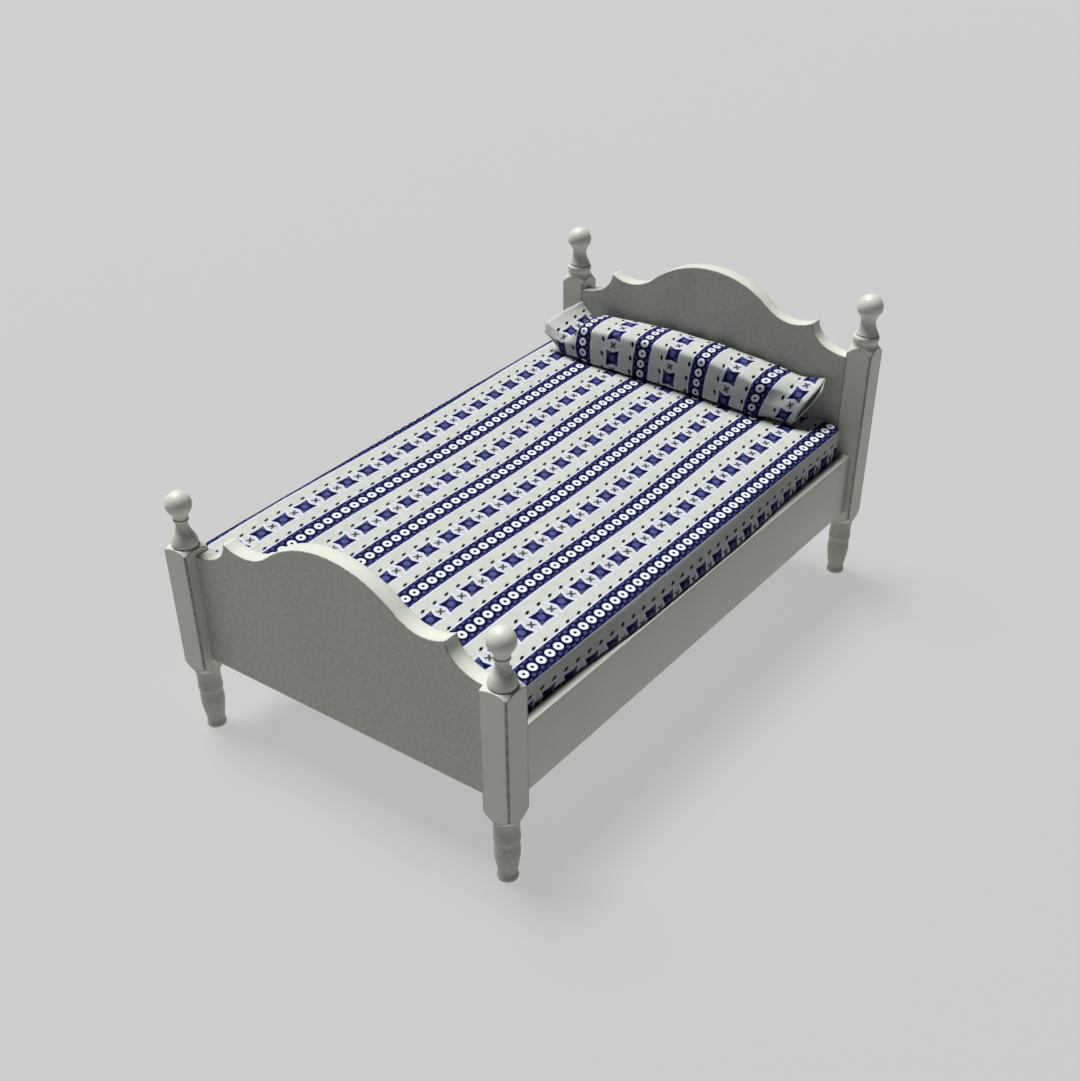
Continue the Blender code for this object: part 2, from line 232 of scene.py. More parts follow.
def spline(points, step):
    """A smooth curve through the points, with about one point for each step of its length."""
    points = np.array(points, float)
    before = 2 * points[0] - points[1]
    after = 2 * points[-1] - points[-2]
    padded = np.vstack([before, points, after])
    out = []
    for i in range(1, len(padded) - 2):
        p0, p1, p2, p3 = padded[i - 1 : i + 3]
        count = max(2, int(math.dist(p1, p2) / step))
        for t in np.arange(count) / count:
            bend = 2 * p0 - 5 * p1 + 4 * p2 - p3
            twist = 3 * p1 - p0 - 3 * p2 + p3
            out.append(0.5 * (2 * p1 + (p2 - p0) * t + bend * t**2 + twist * t**3))
    out.append(points[-1])
    return np.array(out)


def straight(points, step):
    """Straight runs between the points, with about one point for each step."""
    out = []
    for start, end in zip(points[:-1], points[1:]):
        count = max(1, int(math.dist(start, end) / step))
        out += [tuple(np.add(start, np.subtract(end, start) * i / count)) for i in range(count)]
    return np.array([*out, points[-1]])


# Posts


def foot_finial(top):
    """A ball, a thin collar, a short neck and a rounded base ring, as curves of (radius, height)."""
    centre = top + FOOT_BALL_HEIGHT
    ball = arc(0.0, centre, FOOT_BALL_RADIUS, 90, -46, 12)
    under = [ball[-1], (1.92, top + 8.1), (1.68, top + 7.5)]
    collar = [(1.68, top + 7.5), (1.92, top + 7.3), (1.95, top + 7.0), (1.74, top + 6.75)]
    neck = [(1.62, top + 6.7), (1.55, top + 5.8), (1.7, top + 4.9), (1.98, top + 4.1), (2.2, top + 3.6)]
    base = [(2.3, top + 3.5), (2.8, top + 2.7), (3.2, top + 1.7), (3.38, top + 0.95), (3.2, top + 0.05)]
    return [ball, under, collar, neck, base]


def head_finial(top):
    """A pear-shaped ball on a thicker neck, which spreads to two rings with a groove between them."""
    centre = top + HEAD_BALL_HEIGHT
    ball = arc(0.0, centre, HEAD_BALL_RADIUS, 90, -20, 12)
    neck = [ball[-1], (2.75, top + 9.0), (2.25, top + 8.0), (2.08, top + 6.9), (2.3, top + 5.7)]
    spread = [(2.3, top + 5.7), (2.8, top + 4.4), (3.2, top + 3.65)]
    ring = [(2.95, top + 3.3), (3.5, top + 2.9), (3.68, top + 2.2), (3.55, top + 1.5), (3.3, top + 1.15)]
    return [ball, neck, spread, ring]


def leg():
    """A tapered leg with a groove, two slight swellings and a foot that flares again."""
    upper = [LEG_TOP, (3.15, 16.9), (3.08, 15.4), (3.2, 13.6), (3.22, 12.3), (3.02, 11.6)]
    lower = [(2.98, 11.4), (3.05, 10.4), (3.17, 9.0), (3.1, 7.4), (2.78, 5.0), (2.45, 3.0), (2.33, 2.0)]
    foot = [(2.33, 2.0), (2.48, 1.3), (2.62, 0.8), LEG_END]
    return [upper, lower, foot]


def post_profile(is_head):
    """The whole turning from the top down, with the edges between its curves a little softened."""
    top = BLOCK_TOP_HEAD if is_head else BLOCK_TOP_FOOT
    drop = SHOULDER_DROP_HEAD if is_head else SHOULDER_DROP_FOOT
    half = post_half
    corner = half * math.sqrt(2)
    outside = corner + 1.0
    slope = drop / (corner - half)
    shoulder = [(half - 0.1, top), (outside, top - slope * (outside - half))]
    block = [shoulder[-1], (outside, BLOCK_BOTTOM + UNDERSIDE_SLOPE * (outside - half))]
    underside = [block[-1], (half, BLOCK_BOTTOM), LEG_TOP]
    sole = [LEG_END, (2.25, 0.0), (0.0, 0.0)]
    finial = head_finial(top) if is_head else foot_finial(top)
    curves = [spline(piece, PROFILE_STEP) for piece in finial]
    curves.append(straight(shoulder, PROFILE_STEP))
    curves.append(straight(block, 5 * PROFILE_STEP))
    curves.append(straight(underside, PROFILE_STEP))
    curves += [spline(piece, 2 * PROFILE_STEP) for piece in leg()]
    curves.append(straight(sole, 2 * PROFILE_STEP))
    profile = np.vstack(curves)
    keep = np.ones(len(profile), bool)
    keep[1:] = np.linalg.norm(np.diff(profile, axis=0), axis=1) > 0.03
    return profile[keep]


def square_reach(angles, half, radius):
    """How far a square with rounded corners reaches from its middle in each direction."""
    c, s = np.abs(np.cos(angles)), np.abs(np.sin(angles))
    flat = half / np.maximum(c, s)
    inner = half - radius
    along = inner * (c + s)
    corner = along + np.sqrt(np.maximum(along**2 - 2 * inner**2 + radius**2, 0.0))
    in_corner = np.minimum(c, s) * flat > inner
    return np.where(in_corner, corner, flat)


def soft_min(a, b, softness):
    """The smaller of two values, with the change from one to the other rounded off."""
    h = np.clip(0.5 + 0.5 * (b - a) / softness, 0.0, 1.0)
    return b * (1 - h) + a * h - softness * h * (1 - h)


def post_painted_shade(x, y, heights, to_square):
    """How much painted shade a post gets: along the arches where its turnings meet its block, on its arrises
    and legs.
    """
    arch = np.exp(-((to_square / ARCH_SHADE_WIDTH) ** 2))
    past_arris = np.minimum(np.abs(x), np.abs(y)) - (post_half - POST_EDGE_RADIUS)
    arris = np.exp(-((np.minimum(past_arris, 0.0) / ARRIS_SHADE_WIDTH) ** 2))
    return np.maximum(np.maximum(arch, arris), LEG_SHADE * (heights < BLOCK_BOTTOM - 0.5))


def make_post(name, is_head):
    """A turned profile cut off by the post's square with its rounded corners, as the real one is turned."""
    box_low, box_high = low(name), high(name)
    centre = (box_low[:2] + box_high[:2]) / 2
    profile = post_profile(is_head)
    angles = np.linspace(0, 2 * math.pi, TURNING_SIDES, endpoint=False) + math.pi / TURNING_SIDES
    square = square_reach(angles, post_half, POST_EDGE_RADIUS)
    radius = np.maximum(soft_min(profile[:, :1], square[None, :], EDGE_SOFTNESS), 0.0)
    heights = np.repeat(profile[:, 1:], TURNING_SIDES, axis=1)
    x = radius * np.cos(angles)
    y = radius * np.sin(angles)
    rings = np.stack([x + centre[0], y + centre[1], heights], axis=-1)
    obj = loft(name + "_turned", rings[::-1])
    # Painted shade along the arches and arrises, and on the legs
    painted_shade = post_painted_shade(x, y, heights, profile[:, :1] - square[None, :])
    add_painted_shade(obj, painted_shade[::-1])
    return obj


# Boards


def board_top(crest, end_x):
    """The right half of a board's shaped top, from the crest down to the post."""
    reach = (COVE_X**2 + CREST_TO_COVE**2) / (2 * CREST_TO_COVE)
    crest_radius = reach - COVE_RADIUS
    meet = math.degrees(math.asin(COVE_X / reach))
    dip = math.degrees(math.asin((NUB_X - COVE_X) / COVE_RADIUS))
    rise = arc(0.0, crest - crest_radius, crest_radius, 90, 90 - meet, 44)
    cove_z = crest - CREST_TO_COVE + COVE_RADIUS
    cove = arc(COVE_X, cove_z, COVE_RADIUS, -90 - meet, -90 + dip, 36)
    nub_x, nub_z = cove[-1]
    drop = nub_z - (crest - CREST_TO_END)
    turn = np.radians(np.linspace(0, 90, 40))
    quarter = [(end_x - (end_x - nub_x) * math.cos(a), nub_z - drop * math.sin(a)) for a in turn]
    return [*rise, *cove[1:]], quarter


def even_run(points, step):
    """The same line with its points evenly spaced, its two ends kept."""
    points = np.array(points)
    lengths = np.concatenate([[0.0], np.cumsum(np.linalg.norm(np.diff(points, axis=0), axis=1))])
    places = np.linspace(0.0, lengths[-1], max(2, int(lengths[-1] / step) + 1))
    return np.stack([np.interp(places, lengths, points[:, k]) for k in (0, 1)], axis=1)


def board_outline(bottom, crest, end_x):
    """A board's whole outline, clockwise from the lower left, in even steps between its corners."""
    top, quarter = board_top(crest, end_x)
    hidden_x = end_x + BOARD_EDGE_RADIUS
    right = [top, quarter, [quarter[-1], (hidden_x, quarter[-1][1])]]
    right.append([(hidden_x, quarter[-1][1]), (hidden_x, bottom)])
    left = [[(-x, z) for x, z in run[::-1]] for run in right[::-1]]
    runs = [*left, *right, [(hidden_x, bottom), (-hidden_x, bottom)]]
    return np.vstack([even_run(run, OUTLINE_STEP)[:-1] for run in runs])


def inward(outline):
    """How each point of a clockwise outline moves when its sides all move in by one."""
    side = np.roll(outline, -1, axis=0) - outline
    side /= np.linalg.norm(side, axis=1)[:, None]
    normal = np.stack([side[:, 1], -side[:, 0]], axis=1)
    summed = normal + np.roll(normal, 1, axis=0)
    return summed * 2 / np.maximum((summed**2).sum(axis=1), 1.0)[:, None]


def make_board(name):
    """A flat board sawn to its outline, with a small round on its edges."""
    (_, front, bottom), (_, back, crest) = low(name), high(name)
    outline = board_outline(bottom, crest, post_x - post_half)
    move = inward(outline)
    radius = BOARD_EDGE_RADIUS
    turn = np.radians(np.linspace(0, 90, 5))
    rim = [(front + radius * (1 - math.sin(a)), radius * (1 - math.cos(a))) for a in turn[::-1]]
    rim += [(front + (back - front) * t, 0.0) for t in (0.35, 0.65)]
    rim += [(back - radius * (1 - math.sin(a)), radius * (1 - math.cos(a))) for a in turn]
    rings = []
    for y, inset in rim:
        moved = outline + move * inset
        rings.append(np.stack([moved[:, 0], np.full(len(moved), y), moved[:, 1]], axis=1))
    obj = loft(name + "_shaped", np.array(rings))
    # Painted shade along the board's edges, ring by ring
    add_painted_shade(obj, np.repeat(np.array(BOARD_EDGE_SHADE)[:, None], len(outline), axis=1))
    obj.modifiers.new("even_shading", "WEIGHTED_NORMAL")
    return obj


# Rails


def rounded_loop(low_corner, high_corner, radius, steps=4):
    """A rounded rectangle in the plane of its two coordinates, anticlockwise from its lower right corner."""
    (x0, z0), (x1, z1) = low_corner, high_corner
    corners = [(x1 - radius, z0 + radius, -90), (x1 - radius, z1 - radius, 0)]
    corners += [(x0 + radius, z1 - radius, 90), (x0 + radius, z0 + radius, 180)]
    loop = []
    for x, z, start in corners:
        loop += arc(x, z, radius, start, start + 90, steps)
    return np.array(loop)


def make_rail(name):
    """A flat rail between two posts, with rounded edges, painted shade on the upper two of them."""
    (x0, _, z0), (x1, _, z1) = low(name), high(name)
    reach = post_y - post_half
    loop = rounded_loop((x0, z0), (x1, z1), RAIL_EDGE_RADIUS)
    along = np.linspace(-reach, reach, 60)
    rings = np.array([[(x, y, z) for x, z in loop] for y in along])
    obj = loft(name + "_rail", rings[::-1])
    edge = np.zeros(len(loop))
    # Painted shade on the middles of its two upper corners
    edge[[7, 12]] = 1.0
    add_painted_shade(obj, np.tile(edge, (len(along), 1)))
    return obj


# Cloth


def add_flat_map(obj, flat):
    """Stores each point's place in the flat cloth, in millimetres, as the mesh's UV map."""
    layer = obj.data.uv_layers.new(name="flat")
    corner_points = np.zeros(len(obj.data.loops), np.int32)
    obj.data.loops.foreach_get("vertex_index", corner_points)
    layer.data.foreach_set("uv", np.asarray(flat, np.float32)[corner_points].ravel())


def thicken(obj, thickness):
    """Gives a sheet its thickness, inward from its outer face."""
    solid = obj.modifiers.new("thickness", "SOLIDIFY")
    solid.thickness = thickness * MM
    solid.offset = -1.0


def smooth_step(x, start, end):
    t = np.clip((x - start) / (end - start), 0.0, 1.0)
    return t * t * (3 - 2 * t)


# Mattress


def mattress_top(x, y):
    """The height of the mattress's top before its ripples."""
    right = TOP_RIGHT_Z + TOP_RIGHT_CLIMB * y
    left = TOP_LEFT_Z + TOP_LEFT_CLIMB * y
    return right + (left - right) * (TOP_RIGHT_X - x) / (TOP_RIGHT_X - TOP_LEFT_X)


def ripple(x, y):
    """The slight unevenness of the top, in millimetres."""
    broad = 0.10 * np.sin(x / 7.3 + 0.6) * np.sin(y / 10.7 + 1.1)
    fine = 0.05 * np.sin(x / 3.1 + y / 5.9) * np.sin(y / 4.3 - x / 8.1 + 2.0)
    return broad + fine


def grid_lines(start, end, corner, step):
    """Places across one side, closer together in the rounded corners."""
    near = corner * np.array([0.0, 0.1, 0.2, 0.33, 0.48, 0.65, 0.82])
    middle = np.linspace(start + corner, end - corner, int((end - start - 2 * corner) / step) + 1)
    return np.concatenate([start + near, middle, end - near[::-1]])


def round_corners(x, y, x_lines, y_lines, radius):
    """Pulls the grid's square corners in to quarter circles, and gives each point its way out."""
    centre_x = np.clip(x, x_lines[0] + radius, x_lines[-1] - radius)
    centre_y = np.clip(y, y_lines[0] + radius, y_lines[-1] - radius)
    away_x, away_y = x - centre_x, y - centre_y
    size = np.maximum(np.abs(away_x), np.abs(away_y))
    length = np.maximum(np.hypot(away_x, away_y), 1e-9)
    out_x, out_y = away_x / length, away_y / length
    return centre_x + out_x * size, centre_y + out_y * size, out_x, out_y


def edge_loop(columns, rows):
    """Grid indices once round the border, anticlockwise seen from above."""
    front = [(i, 0) for i in range(columns)]
    right = [(columns - 1, j) for j in range(1, rows)]
    back = [(i, rows - 1) for i in range(columns - 2, -1, -1)]
    left = [(0, j) for j in range(rows - 2, 0, -1)]
    return np.array(front + right + back + left)


def top_grid(step):
    """The top as a grid of points with rounded corners, and each point's way out from the middle."""
    left, right = TOP_LEFT_X + TOP_EDGE_RADIUS, TOP_RIGHT_X - TOP_EDGE_RADIUS
    half_length = MATTRESS_HALF_LENGTH - TOP_EDGE_RADIUS
    x_lines = grid_lines(left, right, MATTRESS_CORNER, step)
    y_lines = grid_lines(-half_length, half_length, MATTRESS_CORNER, step)
    x, y = np.meshgrid(x_lines, y_lines, indexing="ij")
    return round_corners(x, y, x_lines, y_lines, MATTRESS_CORNER)


def side_rings(top_z):
    """How far out and how high each ring round the sides lies, from the top edge down to the bottom."""
    rings = []
    for a in np.radians(np.linspace(0, 90, 8))[1:]:
        rings.append((TOP_EDGE_RADIUS * math.sin(a), top_z - TOP_EDGE_RADIUS * (1 - math.cos(a))))
    start, above_rail = rings[-1][1], RAIL_TOP + 0.8
    for t in np.linspace(0, 1, 7)[1:]:
        rings.append((TOP_EDGE_RADIUS, start + (above_rail - start) * t))
    tuck = RAIL_TOP + np.array(TUCK_STEPS)
    low_wall = np.linspace(RAIL_TOP, MATTRESS_BOTTOM + UNDER_EDGE_RADIUS, 8)
    for z in (*tuck, *low_wall):
        rings.append((TOP_EDGE_RADIUS, np.full_like(top_z, z)))
    for a in np.radians(np.linspace(0, 90, 5))[1:]:
        outward = TOP_EDGE_RADIUS - UNDER_EDGE_RADIUS * (1 - math.cos(a))
        z = MATTRESS_BOTTOM + UNDER_EDGE_RADIUS * (1 - math.sin(a))
        rings.append((outward, np.full_like(top_z, z)))
    return rings


def side_shift(place, top_z, z):
    """How far the sides move to the right: over the rails above them, and tucked in between them below."""
    on_left = smooth_step(-place[:, 0], 40.0, 48.0)
    on_right = smooth_step(place[:, 0], 40.0, 47.0)
    tuck_left = OVERHANG * smooth_step(z, RAIL_TOP + 3.2, RAIL_TOP + 0.6)
    bulge_top, bulge_low = top_z - 0.8, RAIL_TOP + 0.8
    down = np.clip((bulge_top - z) / (bulge_top - bulge_low), 0.0, 1.0)
    tuck_right = smooth_step(z, RAIL_TOP + 0.2, RAIL_TOP + 0.75)
    along = 1 - smooth_step(np.abs(place[:, 1] - BULGE_MIDDLE_Y), 20.0, 72.0)
    return on_left * tuck_left + on_right * RIGHT_BULGE * along * down * tuck_right


def skirt_quads(upper, first, rings):
    """The faces of rings of points that hang one below the other from the points numbered in upper."""
    quads = []
    for ring in range(rings):
        lower = first + ring * len(upper) + np.arange(len(upper))
        quads.append(np.stack([upper, lower, np.roll(lower, -1), np.roll(upper, -1)], axis=-1))
        upper = lower
    return np.vstack(quads), upper


def mattress_shell(name, inset, step, lip):
    """A rounded block seen as cloth: a top, walls that turn down at its edges, and a lip under it.

    The cover has a lip, and the pad inside it is closed below. Returns the object and its flat places.
    """
    x, y, out_x, out_y = top_grid(step)
    z = mattress_top(x, y) + ripple(x, y) - inset
    points = [np.stack([x, y, z], axis=-1).reshape(-1, 3)]
    flat = [np.stack([x, y], axis=-1).reshape(-1, 2)]

    loop = edge_loop(*x.shape)
    pick = (loop[:, 0], loop[:, 1])
    base = np.stack([x[pick], y[pick]], axis=1)
    out = np.stack([out_x[pick], out_y[pick]], axis=1)
    top_z = z[pick] + inset
    cloth_used = np.zeros(len(base))
    before = np.column_stack([base, z[pick]])
    for outward, ring_z in side_rings(top_z):
        place = base + out * (outward - inset)
        place[:, 0] += side_shift(place, top_z, ring_z)
        height = np.clip(ring_z, MATTRESS_BOTTOM + inset, top_z - inset)
        ring = np.column_stack([place, height])
        cloth_used = cloth_used + np.linalg.norm(ring - before, axis=1)
        before = ring
        points.append(ring)
        flat.append(base + out * cloth_used[:, None])
    if lip:
        centre = np.clip(before[:, :2], base.min(axis=0) + OVERHANG + lip, base.max(axis=0) - lip)
        for t in (0.33, 0.67, 1.0):
            place = before[:, :2] * (1 - t) + centre * t
            points.append(np.column_stack([place, before[:, 2]]))
            flat.append(base + out * (cloth_used + lip * t)[:, None])

    index = np.arange(x.size).reshape(x.shape)
    sides, last_ring = skirt_quads(index[pick], index.size, len(points) - 1)
    faces = np.vstack([grid_quads(index), sides]).tolist()
    if not lip:
        faces.append(last_ring[::-1].tolist())
    return new_object(name, np.vstack(points), faces), np.vstack(flat)


def print_place(flat):
    """Where the mattress's cloth lies in the print: the bands sway a little and lean, as laid."""
    x, y = flat[:, 0], flat[:, 1]
    near_right = smooth_step(x, 24.0, 43.0)
    near_left = smooth_step(-x, 5.0, 35.0)
    sway = BAND_SWAY * np.cos(math.pi * y / BAND_SWAY_LENGTH)
    shift = sway * (1 - near_right) + RIGHT_BAND_SHIFT * near_right + LEFT_BAND_SHIFT * near_left
    pulled = x + EDGE_PULL * smooth_step(-x, 45.5, 48.8)
    lean = PRINT_LEAN * x + PRINT_LEAN_GROWTH * x**2
    return np.stack([pulled - FIRST_BAND_X - shift, y + lean + PRINT_START], axis=1)


def make_mattress():
    """The printed cover, and the foam pad a little inside it."""
    cover, flat = mattress_shell("mattress_cotton", 0.0, COVER_STEP, LIP)
    add_flat_map(cover, print_place(flat))
    thicken(cover, CLOTH_THICKNESS)
    pad, _ = mattress_shell("mattress_pad", PAD_INSET, PAD_STEP, 0.0)
    return cover, pad


# Pillow

# Cross-sections of the case, by their place along the flat cloth from the first band. The eight points
# go round it: front bottom, front middle, front top, top middle, back top, back middle, back bottom and
# under middle. At both ends the upper four and the lower four lie close together, pressed flat.
CASE_SECTIONS = {
    -16.0: (
        (-45.3, 62.4, 61.2), (-47.0, 62.0, 62.6), (-47.6, 63.2, 65.2), (-46.2, 71.0, 66.9),
        (-44.4, 78.6, 68.0), (-45.6, 71.2, 65.7), (-46.4, 63.8, 63.9), (-45.9, 62.9, 62.5),
    ),
    -12.6: (
        (-42.1, 62.2, 58.0), (-43.1, 61.5, 61.2), (-42.6, 62.9, 63.6), (-42.7, 71.0, 65.0),
        (-42.6, 78.8, 66.0), (-42.8, 73.0, 63.4), (-42.4, 67.0, 60.0), (-42.2, 63.4, 58.3),
    ),
    -7.0: (
        (-38.7, 62.1, 56.7), (-38.8, 61.4, 61.0), (-37.7, 62.9, 62.9), (-37.6, 71.0, 62.9),
        (-38.4, 78.6, 63.0), (-38.4, 78.4, 60.4), (-38.5, 77.0, 58.0), (-38.5, 70.0, 56.9),
    ),
    -2.95: (
        (-34.7, 61.8, 56.6), (-35.6, 61.5, 61.5), (-35.6, 62.9, 66.5), (-36.0, 70.5, 66.6),
        (-36.0, 77.4, 65.9), (-36.0, 77.6, 61.5), (-35.8, 77.0, 57.4), (-35.0, 70.0, 56.9),
    ),
    0.0: (
        (-31.9, 61.5, 56.4), (-32.6, 61.6, 61.6), (-33.0, 62.7, 66.7), (-33.6, 70.0, 67.2),
        (-34.0, 77.1, 66.6), (-33.6, 77.4, 61.8), (-33.0, 76.8, 57.0), (-32.4, 69.0, 56.6),
    ),
    19.07: (
        (-12.8, 63.6, 55.0), (-12.3, 63.4, 61.3), (-11.6, 64.2, 67.3), (-12.0, 71.0, 67.9),
        (-12.7, 78.0, 66.9), (-12.7, 78.3, 61.5), (-12.7, 77.7, 55.8), (-12.7, 70.0, 55.3),
    ),
    38.14: (
        (6.0, 65.0, 53.9), (6.6, 64.6, 60.3), (7.6, 65.0, 66.4), (7.3, 72.0, 67.0),
        (6.9, 78.7, 66.2), (6.8, 78.9, 60.5), (6.6, 78.4, 54.6), (6.3, 71.5, 54.2),
    ),
    57.2: (
        (23.8, 66.4, 52.5), (25.2, 65.6, 57.6), (26.7, 66.5, 62.5), (27.3, 72.6, 64.2),
        (27.8, 78.9, 63.9), (27.2, 79.0, 58.5), (26.3, 78.6, 53.3), (25.0, 72.0, 52.8),
    ),
    63.65: (
        (29.2, 68.6, 51.9), (31.8, 67.0, 56.4), (33.6, 69.6, 61.0), (33.9, 74.5, 62.5),
        (33.6, 79.0, 62.6), (33.4, 78.4, 60.2), (32.2, 76.4, 55.6), (30.4, 72.4, 52.4),
    ),
    70.8: (
        (36.2, 69.4, 51.8), (37.8, 68.9, 55.4), (39.7, 70.4, 59.3), (40.8, 74.6, 62.1),
        (40.7, 79.0, 63.7), (41.8, 75.4, 61.3), (40.4, 71.6, 58.1), (38.1, 70.1, 54.3),
    ),
}
SIDE_STEPS = 14
ALONG_STEP = 0.6
ALONG_BLUR = 1.2
BODY_ROUNDING = 2.0
END_ROUNDING = 0.7
END_LENGTH = 14.0
# How far the print sits round the case at each band and each column of flowers
COLUMN_PLACES = (-9.3, 0.0, 9.75, 19.07, 28.8, 38.14, 47.9, 57.2, 66.95)
COLUMN_SHIFTS = (-4.8, -2.8, -2.8, -2.9, -0.7, -2.3, -0.4, -2.1, -2.9)
BAND_GATHER = 0.18
# How high the case's folds, its slackness and its hems stand
FOLD_DEPTH = 0.22
SLACK_DEPTH = 0.13
HEM_DEPTH = 0.12
# The wadding: how far inside the case it lies, where it starts and ends, and over what length it narrows
WADDING_INSET = 0.9
WADDING_START = -8.0
WADDING_END = 62.0
WADDING_TAPER = 5.0
# Loose threads at the open end, each by its start and the way it runs
THREAD_RADIUS = 0.07
THREADS = (
    ((38.6, 70.9, 54.3), (1.3, 0.2, -0.7)),
    ((39.6, 71.6, 55.7), (1.0, -0.5, -1.1)),
    ((40.6, 72.6, 57.6), (1.5, 0.3, -0.4)),
    ((41.3, 74.2, 59.4), (0.9, -0.2, -1.0)),
    ((37.4, 70.5, 52.9), (0.8, 0.4, -0.5)),
)


def bell(sigma, reach):
    """The weights of a smoothing that reaches so many points to each side."""
    weights = np.exp(-0.5 * (np.arange(-reach, reach + 1) / sigma) ** 2)
    return weights / weights.sum()


def blend_along(sections, sigma):
    """Each line along the case smoothed, its ends carried straight on."""
    reach = int(3 * sigma) + 1
    first = 2 * sections[:1] - sections[reach:0:-1]
    last = 2 * sections[-1:] - sections[-2 : -reach - 2 : -1]
    padded = np.concatenate([first, sections, last])
    parts = [weight * padded[i : i + len(sections)] for i, weight in enumerate(bell(sigma, reach))]
    return sum(parts)


def case_rings():
    """Points of the case by place along it and place round it, its long edges rounded."""
    stations = np.array(sorted(CASE_SECTIONS))
    corners = np.array([CASE_SECTIONS[place] for place in stations])
    along = np.arange(stations[0], stations[-1] + ALONG_STEP / 2, ALONG_STEP)
    section = np.zeros((len(along), 8, 3))
    for i in range(8):
        for k in range(3):
            section[:, i, k] = np.interp(along, stations, corners[:, i, k])
    section = blend_along(section, ALONG_BLUR / ALONG_STEP)
    t = (np.arange(SIDE_STEPS) / SIDE_STEPS)[None, None, :, None]
    sides = section[:, :, None] * (1 - t) + np.roll(section, -1, axis=1)[:, :, None] * t
    rings = sides.reshape(len(along), -1, 3)
    from_end = np.minimum(along - along[0], along[-1] - along)
    sigma = END_ROUNDING + (BODY_ROUNDING - END_ROUNDING) * np.clip(from_end / END_LENGTH, 0, 1)
    rounded = np.zeros_like(rings)
    for i, width in enumerate(sigma):
        reach = int(3 * width) + 1
        for offset, weight in zip(range(-reach, reach + 1), bell(width, reach)):
            rounded[i] += weight * np.roll(rings[i], offset, axis=0)
    return along, rounded


def outward_of(rings):
    """The way out from the case at each of its points."""
    around = np.roll(rings, -1, axis=1) - np.roll(rings, 1, axis=1)
    ahead = np.gradient(rings, axis=0)
    out = np.cross(ahead, around)
    return out / np.maximum(np.linalg.norm(out, axis=2), 1e-9)[:, :, None]


def wrinkle(along, rings):
    """Soft folds that run in from both pressed ends, and a little slackness everywhere."""
    w = along[:, None]
    round_place = (np.arange(rings.shape[1]) / SIDE_STEPS)[None, :]
    near_left = np.exp(-(((w + 5.5) / 4.5) ** 2))
    near_right = np.exp(-(((w - 62.0) / 5.0) ** 2))
    left_folds = near_left * np.sin(3.1 * round_place + 0.35 * w)
    right_folds = near_right * np.sin(2.7 * round_place - 0.3 * w)
    slack = np.sin(0.31 * w + 1.7 * round_place) * np.sin(0.17 * w - 0.9 * round_place + 1.0)
    hem = smooth_step(w, along[-1] - 1.6, along[-1] - 1.1) + smooth_step(-w, 14.5, 15.0)
    return FOLD_DEPTH * (left_folds + right_folds) + SLACK_DEPTH * slack + HEM_DEPTH * hem


def case_flat(along, rings):
    """Places in the print: across the bands along the case, and round it from its front top edge."""
    steps = np.linalg.norm(np.diff(rings, axis=1), axis=2)
    around = np.concatenate([np.zeros((len(along), 1)), np.cumsum(steps, axis=1)], axis=1)
    around = around - around[:, 2 * SIDE_STEPS : 2 * SIDE_STEPS + 1]
    from_band = (along + BAND_PERIOD / 2) % BAND_PERIOD - BAND_PERIOD / 2
    gathered = along + from_band * BAND_GATHER * np.exp(-((from_band / 4) ** 4))
    places, shifts = np.array(COLUMN_PLACES), np.array(COLUMN_SHIFTS)
    i = np.clip(np.searchsorted(places, along) - 1, 0, len(places) - 2)
    shift = shifts[i] + (shifts[i + 1] - shifts[i]) * smooth_step(along, places[i], places[i + 1])
    return np.stack([np.broadcast_to(gathered[:, None], around.shape), around + shift[:, None]], axis=-1)


def make_case():
    """The pillow case, a tube of printed cloth with a seam, pressed flat at both ends."""
    along, rings = case_rings()
    rings = rings + outward_of(rings) * wrinkle(along, rings)[:, :, None]
    seam = 6 * SIDE_STEPS
    closed = np.concatenate([rings, rings[:, :1]], axis=1)
    flat = case_flat(along, closed)
    # The tube is opened at its back bottom edge, where the real seam would lie.
    order = np.concatenate([np.arange(seam, 8 * SIDE_STEPS), np.arange(0, seam + 1)])
    flat_order = flat[:, order]
    behind = flat[:, -1:, 1:2] - flat[:, :1, 1:2]
    flat_order[:, : 8 * SIDE_STEPS - seam, 1:2] -= behind
    points = rings[:, order % (8 * SIDE_STEPS)]
    count = points.shape[1]
    index = np.arange(len(along) * count).reshape(-1, count)
    obj = new_object("pillow_cotton", points.reshape(-1, 3), grid_quads(index).tolist())
    add_flat_map(obj, flat_order.reshape(-1, 2))
    thicken(obj, CLOTH_THICKNESS)
    return obj


def make_stuffing():
    """The wadding inside the case: its shape drawn in a little, ending short of both pressed ends."""
    along, rings = case_rings()
    inside = (along > WADDING_START) & (along < WADDING_END)
    middle = rings.mean(axis=1, keepdims=True)
    drawn = rings - outward_of(rings) * WADDING_INSET
    from_end = np.minimum(along - WADDING_START, WADDING_END - along)
    narrowed = 1 - np.clip(from_end / WADDING_TAPER, 0, 1)
    share = np.sqrt(np.clip(1 - narrowed**2, 0.05, 1))[:, None, None]
    drawn = middle + (drawn - middle) * share
    return loft("pillow_wadding", drawn[inside])


def make_threads():
    """A few loose threads at the raw edge of the case's open end."""
    points, faces = [], []
    bow = np.array((0.0, 0.25, 0.2))
    for start, way in THREADS:
        first = len(points)
        for t in np.linspace(0, 1, 7):
            centre = np.array(start) + np.array(way) * t + bow * math.sin(3 * t)
            radius = THREAD_RADIUS * (1 - 0.6 * t)
            for a in np.radians((0, 72, 144, 216, 288)):
                points.append(centre + radius * np.array((0.0, math.cos(a), math.sin(a))))
        for ring in range(6):
            for side in range(5):
                a, b = first + 5 * ring + side, first + 5 * ring + (side + 1) % 5
                faces.append([a, b, b + 5, a + 5])
        faces.append([first + side for side in range(4, -1, -1)])
        faces.append([first + 30 + side for side in range(5)])
    return new_object("case_threads", points, faces)


# Materials


